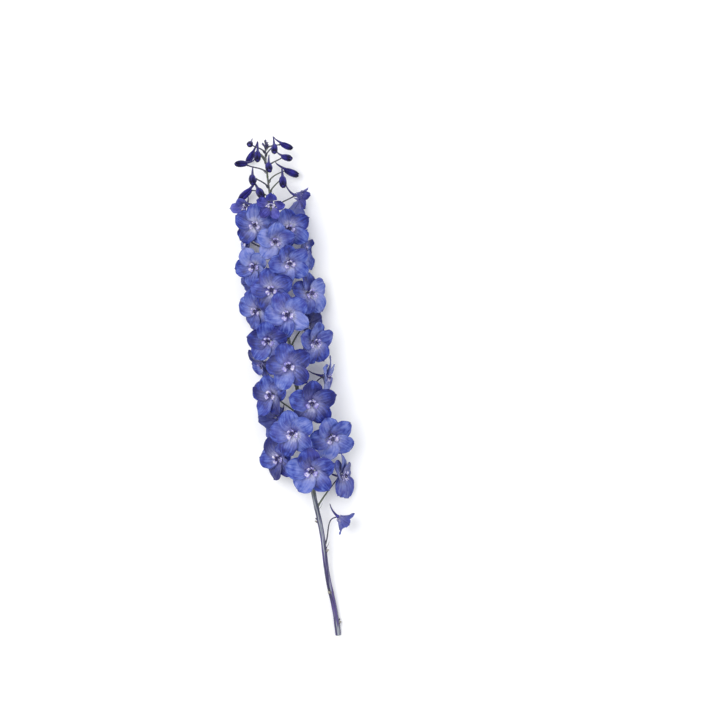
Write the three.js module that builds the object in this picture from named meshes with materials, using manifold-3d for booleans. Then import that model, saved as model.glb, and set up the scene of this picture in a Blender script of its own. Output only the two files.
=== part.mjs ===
// A cut delphinium flower spike that lies on a flat surface, in millimetres.
// +Y runs from the cut end of the stem to the buds at the tip, +Z is up, and the surface is z = 0.
// One stem carries every flower on a stalk of its own: open flowers below, opening ones above them
// and nodding buds at the tip. An open flower has five rounded sepals, the upper one drawn out
// behind into a spur, and a pale tuft of four small petals, the bee, at its centre.
import * as THREE from 'three';
import { mergeGeometries, mergeVertices } from 'three/addons/utils/BufferGeometryUtils.js';
import Module from 'manifold-3d';

const wasm = await Module();
wasm.setup();

// ---------------------------------------------------------------- driving dimensions

const STEM_LENGTH = 572;
const STEM_RADIUS = 3.1; // at the cut end
const TIP_RADIUS = 0.8;
const STEM_RISE = 25; // how far the flowers under the stem hold it off the surface
const RISE_LENGTH = 330; // the stem has risen by this distance from the cut end
const TIP_SWING = 10; // the tip curves sideways by this much
const SWING_START = 400;
const KINK = 0.9; // the stem wanders sideways by this much from leaf to leaf
const KINK_LENGTH = 96;

const OPEN_FLOWERS = 27;
const OPENING_FLOWERS = 3;
const BUDS = 1;
const TIP_BUDS = 12; // the youngest, still one piece with the stem
const FLOWERS = OPEN_FLOWERS + OPENING_FLOWERS + BUDS + TIP_BUDS;
const FIRST_STALK = 150; // from the cut end to the lowest flower stalk
const LAST_STALK = 564;
const LOW_SPACING = 1.65; // spacing of the lowest stalks, as a multiple of the mean
const GOLDEN_ANGLE = Math.PI * (3 - Math.sqrt(5));
const SPIRAL = -1; // 1 or -1, the way that the flowers wind up the stem
const FIRST_AZIMUTH = 2.618; // of the lowest flower, before it is spread by the surface
const FACING_UP = 1.15; // above 1, more of the flowers gather on the upper side
const TURNED_UP = [17, 50]; // degrees that flowers at the stem's sides turn their faces up by
const SEED = 22;

const SEPAL_LENGTH = [28.5, 24.5]; // on the lowest and on the highest open flower
const REACH = [34, 27]; // from the stem's axis out to a flower's hub
const CLIMB = [34, 17]; // from a stalk's root up the stem to its flower's hub
const ARRIVAL = { forward: Math.SQRT1_2, upward: Math.SQRT1_2 }; // the way a stalk meets its flower
const SHOOT = { root: 104, climb: 32, azimuth: 72, reach: 23, nod: 50, size: 18.5 }; // a low side shoot
const LEAF_STUBS = [
  { s: 14, azimuth: 75, length: 2.2, radius: 1 },
  { s: 51, azimuth: -25, length: 3.2, radius: 1.1 },
  { s: 99, azimuth: 60, length: 3, radius: 1 },
  { s: 134, azimuth: -80, length: 2.6, radius: 0.9 },
];
const BLADE = 0.7; // thickness of sepals
const PETAL = 0.7; // thickness of the bee's petals
const GAP = 0.3; // between a stalk and its flower, and between a flower and its bee

const LOW_EDGE = -0.1; // height of a pressed sepal's middle layer at its lower edge, which is cut off flat
const PRESSED_RISE = 0.65; // from there it rises by this much to its middle, and again to its other edge
const FLATTENED = 0.15; // the stem is flattened by this much where its cut end rests
const PRESS_FROM = 6; // sepals bend flat below this height
const CLEAR = 0.9; // free space wanted between neighbours
const ATTEMPTS = 120;

const MIDDLE_X = 0.15; // centre of the whole spike's outline
const MIDDLE_Y = 289.45;

const COLOURS = {
  stem: 0x6f7a6c,
  sepals: 0x4353b8,
  youngSepals: 0x3c3fa6,
  bee: 0xcfc8ea,
  bud: 0x33298c,
};

// ---------------------------------------------------------------- small helpers

const UP = new THREE.Vector3(0, 0, 1);
const degrees = Math.PI / 180;
const mix = (a, b, t) => a + (b - a) * t;
const clamp = (x, low, high) => Math.min(high, Math.max(low, x));
const fract = (x) => x - Math.floor(x);

// The n-th seeded random draw of flower k, from 0 to 1.
const draw = (k, n) => fract(Math.sin(k * 12.9898 + n * 78.233 + SEED * 3.7) * 43758.5453);
const jitter = (k, n) => 2 * draw(k, n) - 1;

// origin + the sum of vector * amount over the pairs that follow.
function along(origin, ...pairs) {
  const point = origin.clone();
  for (let i = 0; i < pairs.length; i += 2) point.addScaledVector(pairs[i], pairs[i + 1]);
  return point;
}

// A height above the surface, bent flat near it and never below floor.
function pressedHeight(z, floor) {
  if (z > PRESS_FROM) return z;
  const room = PRESS_FROM - floor;
  return PRESS_FROM - room * Math.tanh((PRESS_FROM - z) / room);
}

function pressed(point, floor) {
  point.z = pressedHeight(point.z, floor);
  return point;
}

// ---------------------------------------------------------------- surfaces and solids

const surface = (points, index) => new THREE.BufferGeometry().setFromPoints(points).setIndex(index);

// The wall through rings of points, each counter-clockwise about the way that they follow. From the
// side number mirroredFrom on, its quads are split along their other diagonal.
function wall(rings, mirroredFrom = Infinity) {
  const sides = rings[0].length;
  const index = [];
  for (let i = 0; i + 1 < rings.length; i++) {
    for (let j = 0; j < sides; j++) {
      const [a, b] = [i * sides + j, i * sides + ((j + 1) % sides)];
      const [c, d] = [b + sides, a + sides];
      if (j < mirroredFrom) index.push(a, b, c, a, c, d);
      else index.push(a, b, d, b, c, d);
    }
  }
  return surface(rings.flat(), index);
}

// A face across a ring of points, seen from where they run counter-clockwise.
function cap(ring) {
  const index = [];
  for (let j = 1; j + 1 < ring.length; j++) index.push(0, j, j + 1);
  return surface(ring, index);
}

// A blade's wall: both of its faces are split into triangles alike, so that they never cross.
const bladeWall = (rings) => wall(rings, rings[0].length / 2);

// The thin edge face at the end of a blade, between the two halves of its last ring.
function bladeEnd(ring) {
  const index = [];
  for (let j = 0; j + 1 < ring.length / 2; j++) {
    const [a, b, c, d] = [j, j + 1, ring.length - 2 - j, ring.length - 1 - j];
    index.push(a, b, c, a, c, d);
  }
  return surface(ring, index);
}

const welded = (pieces) => mergeVertices(mergeGeometries(pieces), 1e-4);
const backwards = (ring) => [...ring].reverse();
const loft = (rings) => welded([cap(backwards(rings[0])), wall(rings), cap(rings.at(-1))]);

// A round tube along a list of points, with a radius at each.
function tube(points, radii, sides) {
  let x = new THREE.Vector3();
  return loft(
    points.map((point, i) => {
      const before = points[Math.max(i - 1, 0)];
      const after = points[Math.min(i + 1, points.length - 1)];
      const way = after.clone().sub(before).normalize();
      if (i === 0) x = Math.abs(way.z) < 0.8 ? UP.clone() : new THREE.Vector3(1, 0, 0);
      x = x.clone().addScaledVector(way, -x.dot(way)).normalize();
      const y = way.clone().cross(x);
      return Array.from({ length: sides }, (_, j) => {
        const turn = (2 * Math.PI * j) / sides;
        return along(point, x, radii[i] * Math.cos(turn), y, radii[i] * Math.sin(turn));
      });
    }),
  );
}

// The edge of a thin blade cut across at u, round its middle surface at(u, v): v runs across the
// blade from -1 to 1. Every ring has the same points, so both faces are split into triangles alike.
function bladeRing(at, u, columns, thickness) {
  const STEP = 0.02;
  const point = (v, offset) => {
    const lengthways = at(u + STEP, v).sub(at(u - STEP, v));
    const crossways = at(u, v + STEP).sub(at(u, v - STEP));
    return along(at(u, v), lengthways.cross(crossways).normalize(), offset);
  };
  return [
    ...columns.map((v) => point(v, -thickness / 2)),
    ...backwards(columns).map((v) => point(v, thickness / 2)),
  ];
}

function solidOf(geometry) {
  return new wasm.Manifold(
    new wasm.Mesh({
      numProp: 3,
      vertProperties: new Float32Array(geometry.getAttribute('position').array),
      triVerts: new Uint32Array(geometry.index.array),
    }),
  );
}

const joined = (geometries) => geometries.map(solidOf).reduce((whole, piece) => whole.add(piece));

// Everything below the surface that the spike lies on.
const BELOW = solidOf(
  loft(
    [-20, 0].map((z) =>
      [[-200, -50], [200, -50], [200, 700], [-200, 700]].map(([x, y]) => new THREE.Vector3(x, y, z)),
    ),
  ),
);

// A named mesh of a solid, placed by its own centre point and cut off flat where it meets the surface.
function meshOf(name, solid, centre, material) {
  const made = solid.subtract(BELOW).getMesh();
  const geometry = new THREE.BufferGeometry()
    .setAttribute('position', new THREE.BufferAttribute(new Float32Array(made.vertProperties), 3))
    .setIndex(new THREE.BufferAttribute(new Uint32Array(made.triVerts), 1));
  geometry.translate(-centre.x, -centre.y, -centre.z);
  geometry.computeVertexNormals();
  const mesh = new THREE.Mesh(geometry, material);
  mesh.name = name;
  mesh.position.copy(centre);
  return mesh;
}

// ---------------------------------------------------------------- the stem

function stemRadius(s) {
  return mix(STEM_RADIUS, TIP_RADIUS, Math.pow(clamp(s / STEM_LENGTH, 0, 1), 1.25));
}

// The stem's axis at a distance s from the cut end.
function stemPoint(s) {
  const lift = Math.sin((Math.PI / 2) * clamp(s / RISE_LENGTH, 0, 1));
  const swing = Math.pow(Math.max(0, s - SWING_START) / (STEM_LENGTH - SWING_START), 2);
  return new THREE.Vector3(
    TIP_SWING * swing + KINK * Math.sin((2 * Math.PI * s) / KINK_LENGTH),
    s,
    STEM_RADIUS - FLATTENED + STEM_RISE * lift,
  );
}

// The way the stem runs at s, and the directions across it, upwards and sideways.
function stemFrame(s) {
  const way = stemPoint(s + 1).sub(stemPoint(s - 1)).normalize();
  const top = along(UP, way, -UP.dot(way)).normalize();
  return { way, top, side: way.clone().cross(top) };
}

// ---------------------------------------------------------------- where each flower is

function kindOf(k) {
  if (k < OPEN_FLOWERS) return 'open';
  if (k < OPEN_FLOWERS + OPENING_FLOWERS) return 'opening';
  return k < FLOWERS - TIP_BUDS ? 'bud' : 'tip';
}

function stalkRoot(k) {
  const t = k / (FLOWERS - 1);
  return FIRST_STALK + (LAST_STALK - FIRST_STALK) * (LOW_SPACING * t + (1 - LOW_SPACING) * t * t);
}

// How far round the stem a flower may be from straight up: the surface pushes the lowest ones aside.
const widestAzimuth = (s) => mix(105, 142, clamp((s - 190) / 130, 0, 1));

// A flower held out from the stem: angles in degrees, opens and spreads are the slopes of its
// sepals at their roots and tips.
function hang(k, kind, { root, climb, azimuth, reach, nod, yaw, roll, size, opens, spreads }) {
  const s = Math.min(root + climb, STEM_LENGTH - 1);
  const { way, top, side } = stemFrame(s);
  const turn = azimuth * degrees;
  const out = along(new THREE.Vector3(), top, Math.cos(turn), side, Math.sin(turn));
  const straight = out.clone().applyAxisAngle(way, yaw * degrees);
  const drop = nod * degrees;
  const face = along(new THREE.Vector3(), straight, Math.cos(drop), way, -Math.sin(drop));
  const upright = along(new THREE.Vector3(), way, Math.cos(drop), straight, Math.sin(drop));
  const up = upright.clone().applyAxisAngle(face, roll * degrees);
  return {
    k, kind, root, out, face, up, size,
    across: up.clone().cross(face),
    hub: along(stemPoint(s), out, reach),
    arrival: along(new THREE.Vector3(), face, ARRIVAL.forward, upright, ARRIVAL.upward),
    opens: opens * degrees,
    spreads: spreads * degrees,
  };
}

// How open flowers hang, and how young ones do, from the oldest to the youngest: degrees and mm.
const OPEN = { nod: 12, opens: 38, spreads: -6 };
const YOUNG = { reach: [29, 19], climb: [16, 9], nod: 24 };
const OPENING = { opens: [66, 78], spreads: [14, 30], size: [19, 17] };
const LOOSENESS = { open: 1, opening: 0.6, bud: 1.6, tip: 2 };

// Flower k as it hangs at an attempt: later attempts stray further from its place in the spiral.
function flowerAt(k, attempt) {
  const kind = kindOf(k);
  const isOpen = kind === 'open';
  const loose = LOOSENESS[kind];
  const stray = attempt / ATTEMPTS;
  const salt = 20 + attempt * 6;
  const age = clamp(k / (OPEN_FLOWERS - 1), 0, 1);
  const youth = clamp((k - OPEN_FLOWERS) / (FLOWERS - 1 - OPEN_FLOWERS), 0, 1);
  const closing = (k - OPEN_FLOWERS) / OPENING_FLOWERS;
  const root = stalkRoot(k);
  const climb = (isOpen ? mix(...CLIMB, age) : mix(...YOUNG.climb, youth)) + 7 * stray * jitter(k, salt);
  const spiral = SPIRAL * k * GOLDEN_ANGLE + FIRST_AZIMUTH + 0.9 * stray * jitter(k, salt + 1);
  const turn = 2 * (fract(spiral / (2 * Math.PI) + 0.5) - 0.5); // -1 to 1, and 0 straight up
  const azimuth = Math.sign(turn) * Math.abs(turn) ** FACING_UP * widestAzimuth(root + climb);
  const reach = isOpen ? mix(...REACH, age) : mix(...YOUNG.reach, youth ** 0.8);
  const nod = isOpen ? OPEN.nod : YOUNG.nod;
  const size = isOpen ? mix(...SEPAL_LENGTH, age) : mix(...OPENING.size, closing);
  const turnedUp = mix(...TURNED_UP, draw(k, 9));
  return hang(k, kind, {
    root,
    climb,
    azimuth,
    reach: reach * (1 + 0.06 * jitter(k, 2) + 0.22 * stray * draw(k, salt + 2)),
    nod: nod + loose * (14 * jitter(k, 3) + 10 * stray * jitter(k, salt + 3)),
    yaw: loose * (9 * jitter(k, 4) + 9 * stray * jitter(k, salt + 4)) - turnedUp * Math.sin(Math.PI * turn),
    roll: loose * (14 * jitter(k, 5) + 20 * stray * jitter(k, salt + 5)),
    size: size * (1 + 0.05 * jitter(k, 6)),
    opens: isOpen ? OPEN.opens + 7 * jitter(k, 7) : mix(...OPENING.opens, closing),
    spreads: isOpen ? OPEN.spreads + 14 * jitter(k, 8) : mix(...OPENING.spreads, closing),
  });
}

// ---------------------------------------------------------------- the parts of a flower

const HUB = { back: -1.4, backRadius: 2, front: 2, frontRadius: 2.5 };
const SEPAL_ROOT = { open: 1.2, opening: 3.2 }; // a sepal starts this far from the flower's axis
const CLAW_TURN = 9; // nearer the axis than this a sepal's claw narrows
const SPUR = { length: 18, rise: 5.5, radius: 1.8, tip: 0.5 };

// A point of a flower: at an angle and distance round its axis, and so far forward along it.
function roundFace({ hub, face, up, across }, angle, distance, forward) {
  return along(hub, across, distance * Math.cos(angle), up, distance * Math.sin(angle), face, forward);
}

// Each sepal's direction round the face, and its length and half width against the flower's size.
const SEPALS = [
  { angle: 90, length: 0.95, width: 0.46 },
  { angle: 162, length: 0.98, width: 0.47 },
  { angle: 234, length: 1, width: 0.45 },
  { angle: 306, length: 1, width: 0.45 },
  { angle: 378, length: 0.98, width: 0.47 },
];
const SEPAL_ROWS = [0.14, 0.4, 0.72, 1];
const SEPAL_COLUMNS = [-1, 0, 1];
const PINWHEEL = { open: 1.45, opening: 0.6 }; // one edge of a sepal is raised by this, the other lowered

// A sepal's half width at u, as a share of the widest: a narrow claw, then a broad round limb.
function limbWidth(u) {
  if (u < 0.56) return 0.14 + 0.86 * Math.sin((Math.PI / 2) * (clamp(u, 0, 1) / 0.56) ** 1.3);
  return Math.sqrt(1 - clamp((u - 0.56) / 0.47, 0, 0.95) ** 2);
}

// The middle surface of sepal number n of a flower. The five lie round one shallow bowl.
function sepalSurface(flower, n) {
  const sepal = SEPALS[n];
  const salt = 100 + n * 10;
  const { k } = flower;
  const length = flower.size * sepal.length * (1 + 0.05 * jitter(k, salt));
  const widest = flower.size * sepal.width * (flower.kind === 'open' ? 1 : 0.72);
  const middle = (sepal.angle + 3 * jitter(k, salt + 2)) * degrees;
  const start = flower.opens;
  const bend = flower.spreads + 2 * degrees * jitter(k, salt + 4) - start;
  const curl = 0.04 + 0.04 * jitter(k, salt + 5);
  const wave = 0.3 + 0.15 * jitter(k, salt + 6);
  const phase = 2 * Math.PI * draw(k, salt + 7);
  const under = Math.sign(flower.face.z); // which edge of a pressed sepal lies under its neighbour
  return (u, v) => {
    const run = u - 0.1 * u ** 3 * v * v;
    const slope = start + bend * run;
    const away = SEPAL_ROOT[flower.kind] + (length * (Math.sin(slope) - Math.sin(start))) / bend;
    const forward = (length * (Math.cos(start) - Math.cos(slope))) / bend;
    const half = widest * limbWidth(run);
    const angle = middle + (half * v) / Math.max(away, CLAW_TURN);
    const lift =
      PINWHEEL[flower.kind] * v * mix(0.3, 1, clamp(u / SEPAL_ROWS[1], 0, 1)) +
      curl * half * v * v +
      wave * u ** 3 * v * v * Math.sin(7 * u + 2.2 * v + phase);
    const out = away - Math.sin(slope) * lift;
    const floor = LOW_EDGE + PRESSED_RISE * (1 + under * v);
    return pressed(roundFace(flower, angle, out, forward + Math.cos(slope) * lift), floor);
  };
}

// The spur's middle line: back from the root of the upper sepal, then curving up.
function spurPoint(flower, t) {
  const back = SPUR.length * (0.85 + 0.2 * draw(flower.k, 90)) * (flower.kind === 'open' ? 1 : 0.9);
  const rise = SPUR.rise * (1 + 0.7 * jitter(flower.k, 91));
  const lean = 2.5 * jitter(flower.k, 92);
  const point = along(
    flower.hub,
    flower.face, -back * t,
    flower.up, 0.5 + rise * t * t,
    flower.across, lean * t * t,
  );
  return pressed(point, 1.2);
}

const spurRadius = (t) => mix(SPUR.radius, SPUR.tip, t ** 0.75);

// The five-sided hub, and a sepal that grows from each of its sides.
function flowerBody(flower) {
  const corner = (i, end) => roundFace(flower, (54 + 72 * i) * degrees, HUB[`${end}Radius`], HUB[end]);
  const middle = (i, end) => corner(i, end).lerp(corner(i + 1, end), 0.5);
  const edge = (i, end) => [corner(i, end), middle(i, end), corner(i + 1, end)];
  const fronts = SEPALS.flatMap((_, i) => edge(i, 'front').slice(1));
  const backs = SEPALS.flatMap((_, i) => edge(i, 'back').slice(0, 2));
  const sepals = SEPALS.flatMap((_, i) => {
    const at = sepalSurface(flower, i);
    const rings = [
      [...edge(i, 'back'), ...backwards(edge(i, 'front'))],
      ...SEPAL_ROWS.map((u) => bladeRing(at, u, SEPAL_COLUMNS, BLADE)),
    ];
    return [bladeWall(rings), bladeEnd(rings.at(-1))];
  });
  return welded([cap(fronts), cap(backwards(backs)), ...sepals]);
}

function flowerSolid(flower) {
  const stations = [0, 0.35, 0.7, 1];
  const spur = tube(stations.map((t) => spurPoint(flower, t)), stations.map(spurRadius), 4);
  return joined([flowerBody(flower), spur]);
}

// The bee: a small cup of four petals. Each has two corners at its lip, and a notch after it.
const BEE_PETALS = [
  { angle: 58, notch: 90, reach: 4.6, height: 7.6 },
  { angle: 122, notch: 165, reach: 4.6, height: 7.6 },
  { angle: 208, notch: 270, reach: 5.6, height: 5.4 },
  { angle: 332, notch: 375, reach: 5.6, height: 5.4 },
];
const BEE = { foot: 1.4, throat: 1.3, throatHeight: 1.6, notchReach: 0.62, notchHeight: 0.55, corner: 15 };

function beeSolid(flower) {
  const scale = flower.size / SEPAL_LENGTH[0];
  const base = HUB.front + GAP;
  const corners = BEE_PETALS.flatMap(({ angle, notch, reach, height }) => [
    { angle: angle - BEE.corner, reach, height },
    { angle: angle + BEE.corner, reach, height },
    { angle: notch, reach: reach * BEE.notchReach, height: height * BEE.notchHeight },
  ]);
  const ring = (radius, height) =>
    corners.map((corner) => {
      const [away, forward] = [radius(corner) * scale, base + height(corner) * scale];
      return pressed(roundFace(flower, corner.angle * degrees, away, forward), 0);
    });
  return solidOf(
    loft([
      ring(() => BEE.foot, () => 0),
      ring((corner) => corner.reach, (corner) => corner.height),
      ring((corner) => corner.reach - 0.8 * PETAL, (corner) => corner.height + 0.5 * PETAL),
      ring(() => BEE.throat, () => BEE.throatHeight),
    ]),
  );
}

// A bud: a blunt five-lobed body in front of its stalk and a spur behind it.
const BUD = { length: [17.5, 13.5], radius: [4.3, 3.4], spur: [16, 12.5] };
const BUD_BACK = [0.12, 0.5]; // its back: shares of its length behind the hub, and of its radius
const BUD_PROFILE = [[-BUD_BACK[0], BUD_BACK[1]], [0.24, 0.97], [0.72, 0.93], [1, 0.55]];

function budSize(flower) {
  const late = (flower.k - OPEN_FLOWERS - OPENING_FLOWERS) / (BUDS + TIP_BUDS - 1);
  return {
    length: mix(...BUD.length, late),
    radius: mix(...BUD.radius, late),
    spur: mix(...BUD.spur, late),
  };
}

function budSolid(flower) {
  const { length, radius, spur } = budSize(flower);
  const SIDES = flower.kind === 'bud' ? 8 : 6;
  const body = loft(
    BUD_PROFILE.map(([t, share]) =>
      Array.from({ length: SIDES }, (_, j) =>
        pressed(roundFace(flower, (2 * Math.PI * j) / SIDES, radius * share, length * t), 0),
      ),
    ),
  );
  const spurLine = [0, 0.5, 1].map((t) =>
    roundFace(flower, Math.PI / 2, 0.25 * radius + 0.2 * spur * t * t, 0.12 * length * (1 - t) - spur * t),
  );
  return joined([body, tube(spurLine, [0.5 * radius, 0.34 * radius, 0.18 * radius], SIDES / 2)]);
}

// How far from a flower's hub its stalk ends: just short of its back, or within a bud of the tip.
function neck(flower) {
  if (flower.kind === 'tip') return 0;
  if (flower.kind === 'bud') {
    const { length, radius } = budSize(flower);
    return ARRIVAL.forward * BUD_BACK[0] * length + ARRIVAL.upward * BUD_BACK[1] * radius + GAP;
  }
  return ARRIVAL.upward * HUB.backRadius - ARRIVAL.forward * HUB.back + GAP;
}

// The stalk's middle line, from the stem's axis to its flower.
function stalkCurve(flower) {
  const start = stemPoint(flower.root);
  const { way } = stemFrame(flower.root);
  const end = along(flower.hub, flower.arrival, -neck(flower));
  const span = end.distanceTo(start);
  return new THREE.CubicBezierCurve3(
    start,
    along(start, way, 0.3 * span, flower.out, 0.25 * span),
    along(end, flower.arrival, -0.32 * span),
    end,
  );
}

// ---------------------------------------------------------------- keeping neighbours clear

// Balls that fill a flower and its stalk. Those of two flowers may touch only where both are stalks.
function ballsOf(flower) {
  const balls = [];
  const add = (point, radius, stalk = false) => balls.push({ point, radius, stalk });
  const curve = stalkCurve(flower);
  for (const t of [0.3, 0.45, 0.6, 0.75, 0.9, 1]) add(curve.getPoint(t), 0.9, true);
  if (flower.kind === 'bud' || flower.kind === 'tip') {
    const { length, radius, spur } = budSize(flower);
    for (const t of [0, 0.5, 0.9]) add(along(flower.hub, flower.face, length * t), radius);
    for (const t of [0.5, 1]) add(along(flower.hub, flower.face, -spur * t), 0.8);
    return balls;
  }
  SEPALS.forEach((_, n) => {
    const at = sepalSurface(flower, n);
    for (const u of [0.4, 0.7, 0.97]) for (const v of [-0.9, 0, 0.9]) add(at(u, v), 1.9);
  });
  for (const t of [0.3, 0.65, 1]) add(spurPoint(flower, t), spurRadius(t));
  add(along(flower.hub, flower.face, 6), 4.5);
  add(flower.hub, 2.6);
  return balls;
}

// How deep a flower's balls reach into those already there, and into the stem.
function crowding(balls, others) {
  let total = 0;
  for (const a of balls) {
    if (!a.stalk) {
      const beside = stemPoint(clamp(a.point.y, 0, STEM_LENGTH));
      total += Math.max(0, a.radius + CLEAR + stemRadius(a.point.y) - beside.distanceTo(a.point));
      total += Math.max(0, -PRESS_FROM - a.point.z);
    }
    for (const b of others) {
      if (a.stalk && b.stalk) continue;
      const wanted = a.radius + b.radius + CLEAR;
      const apart = a.point.distanceToSquared(b.point);
      if (apart < wanted * wanted) total += wanted - Math.sqrt(apart);
    }
  }
  return total;
}

// The side shoot's flower, nodding and half closed.
const sideFlower = hang(FLOWERS, 'opening', { ...SHOOT, yaw: 20, roll: 10, opens: 72, spreads: 24 });

// Every flower from the lowest up, each at its first attempt that hangs clear, or else its best.
function placedFlowers() {
  const taken = ballsOf(sideFlower);
  return Array.from({ length: FLOWERS }, (_, k) => {
    let best = null;
    for (let attempt = 0; attempt < ATTEMPTS; attempt++) {
      const flower = flowerAt(k, attempt);
      const balls = ballsOf(flower);
      const crowd = crowding(balls, taken);
      if (!best || crowd < best.crowd) best = { flower, balls, crowd };
      if (crowd === 0) break;
    }
    taken.push(...best.balls);
    return best.flower;
  });
}

// ---------------------------------------------------------------- assembly

const STEM_STEPS = 20;
const STEM_SIDES = 8;
const STALK = { radius: 1.15, youngRadius: 0.9, tipRadius: 0.72, steps: 3, sides: 4 };

function stalk(flower) {
  const curve = stalkCurve(flower);
  const radius = flower.kind === 'open' ? STALK.radius : STALK.youngRadius;
  const points = Array.from({ length: STALK.steps + 1 }, (_, i) => curve.getPoint(i / STALK.steps));
  return tube(points, points.map((_, i) => mix(radius, STALK.tipRadius, i / STALK.steps)), STALK.sides);
}

// The stub that a leaf has left: a short blunt peg that leans up the stem.
function leafStub({ s, azimuth, length, radius }) {
  const { way, top, side } = stemFrame(s);
  const turn = azimuth * degrees;
  const out = along(new THREE.Vector3(), top, Math.cos(turn), side, Math.sin(turn));
  const point = (t) => along(stemPoint(s), out, (stemRadius(s) + length) * t, way, 0.8 * length * t * t);
  return tube([0, 0.6, 1].map(point), [1.5 * radius, 1.2 * radius, radius], 5);
}

function stemSolid(stalked, fused) {
  const stations = Array.from({ length: STEM_STEPS + 1 }, (_, i) => (STEM_LENGTH * i) / STEM_STEPS);
  const axis = tube(stations.map(stemPoint), stations.map(stemRadius), STEM_SIDES);
  const bare = joined([axis, ...LEAF_STUBS.map(leafStub), ...stalked.map(stalk)]);
  return fused.map(budSolid).reduce((whole, bud) => whole.add(bud), bare);
}

const matte = (color, roughness) => new THREE.MeshStandardMaterial({ color, roughness, metalness: 0 });
const materials = {
  stem: matte(COLOURS.stem, 0.6),
  sepals: matte(COLOURS.sepals, 0.75),
  youngSepals: matte(COLOURS.youngSepals, 0.75),
  bee: matte(COLOURS.bee, 0.8),
  bud: matte(COLOURS.bud, 0.7),
};

const numbered = (name, n) => `${name}_${String(n + 1).padStart(2, '0')}`;
const flowers = placedFlowers();
const spike = new THREE.Group();
const stem = stemSolid([sideFlower, ...flowers], flowers.filter((flower) => flower.kind === 'tip'));
spike.add(meshOf('stem', stem, new THREE.Vector3(), materials.stem));
spike.add(meshOf('side_flower', flowerSolid(sideFlower), sideFlower.hub, materials.youngSepals));
for (const flower of flowers) {
  const { k, kind } = flower;
  if (kind === 'open') {
    spike.add(meshOf(numbered('flower', k), flowerSolid(flower), flower.hub, materials.sepals));
    spike.add(meshOf(numbered('bee', k), beeSolid(flower), flower.hub, materials.bee));
  } else if (kind === 'opening') {
    const n = k - OPEN_FLOWERS;
    spike.add(meshOf(numbered('opening', n), flowerSolid(flower), flower.hub, materials.youngSepals));
  } else if (kind === 'bud') {
    const n = k - OPEN_FLOWERS - OPENING_FLOWERS;
    spike.add(meshOf(numbered('bud', n), budSolid(flower), flower.hub, materials.bud));
  }
}
spike.position.set(-MIDDLE_X, -MIDDLE_Y, 0);

const root = new THREE.Group();
root.add(spike);
export default root;
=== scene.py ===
"""A cut delphinium spike that lies on a pale floor: the looks of every part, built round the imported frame.

Sizes are in millimetres until a mesh is made. +Y runs from the cut end of the stem to the buds at the
tip and +Z is up. The stem, the stalks and the place of each flower follow the same rules as the frame's
solids, so that every dressed piece sits where its solid does.
"""

import math
from types import SimpleNamespace

import bpy
import numpy as np
from mathutils import Matrix, Vector


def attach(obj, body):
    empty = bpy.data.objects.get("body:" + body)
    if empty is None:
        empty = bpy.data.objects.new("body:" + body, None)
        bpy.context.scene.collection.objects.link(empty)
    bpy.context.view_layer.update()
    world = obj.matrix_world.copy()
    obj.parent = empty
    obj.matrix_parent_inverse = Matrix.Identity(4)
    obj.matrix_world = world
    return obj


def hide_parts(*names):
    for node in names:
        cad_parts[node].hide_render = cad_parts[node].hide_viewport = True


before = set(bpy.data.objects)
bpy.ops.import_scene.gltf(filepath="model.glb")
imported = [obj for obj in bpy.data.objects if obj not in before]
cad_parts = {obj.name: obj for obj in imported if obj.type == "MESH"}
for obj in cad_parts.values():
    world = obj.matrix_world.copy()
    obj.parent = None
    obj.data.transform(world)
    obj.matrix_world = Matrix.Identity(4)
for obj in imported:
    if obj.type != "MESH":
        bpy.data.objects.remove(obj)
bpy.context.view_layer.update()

MM = 0.001

# ---- the frame's own rules

STEM_LENGTH = 572
STEM_RADIUS = 3.1
TIP_RADIUS = 0.8
STEM_RISE = 25  # the flowers under the stem hold it up by this much
RISE_LENGTH = 330
TIP_SWING = 10  # the tip curves sideways by this much
SWING_START = 400
KINK = 0.9  # the stem wanders sideways by this much
KINK_LENGTH = 96

OPEN_FLOWERS = 27
OPENING_FLOWERS = 3
BUDS = 1
TIP_BUDS = 12
FLOWERS = OPEN_FLOWERS + OPENING_FLOWERS + BUDS + TIP_BUDS
FIRST_OF_KIND = {"open": 0, "opening": OPEN_FLOWERS, "bud": OPEN_FLOWERS + OPENING_FLOWERS}
FIRST_OF_KIND["tip"] = FIRST_OF_KIND["bud"] + BUDS
FIRST_STALK = 150
LAST_STALK = 564
LOW_SPACING = 1.65  # of the lowest stalks, as a multiple of the mean spacing
GOLDEN_ANGLE = math.pi * (3 - math.sqrt(5))
SPIRAL = -1
FIRST_AZIMUTH = 2.618
FACING_UP = 1.15  # above 1, more of the flowers gather on the upper side
WIDEST_AZIMUTH = (105, 142)  # degrees from straight up: the surface pushes the lowest ones aside
WIDENING = (190, 320)  # the stretch of stem along which that grows
TURNED_UP = (17, 50)  # degrees that flowers at the stem's sides face up by
SEED = 22

# On the lowest and on the highest open flower.
SEPAL_LENGTH = (28.5, 24.5)
REACH = (34, 27)  # of its hub from the stem's axis
CLIMB = (34, 17)  # of its hub up the stem from its stalk's root

ARRIVAL = (math.sqrt(0.5), math.sqrt(0.5))  # of a stalk at its flower: forward and upward
SIDE_SHOOT = dict(root=104, climb=32, azimuth=72, reach=23, nod=50, size=18.5)
# Each leaf stub: distance from the cut end, azimuth, length and radius.
LEAF_STUBS = [(14, 75, 2.2, 1), (51, -25, 3.2, 1.1), (99, 60, 3, 1), (134, -80, 2.6, 0.9)]
GAP = 0.3  # between a stalk and its flower

LOW_EDGE = -0.1  # height of a pressed sepal's lower edge
PRESSED_RISE = 0.65  # from there it rises by this much to its middle, and again to its other edge
FLATTENED = 0.15  # of the stem, where its cut end rests
PRESS_FROM = 6  # soft parts bend flat below this height
CLEAR = 0.9  # free space wanted between neighbours
ATTEMPTS = 120
MIDDLE_X = 0.15  # centre of the whole spike's outline
MIDDLE_Y = 289.45

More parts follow.
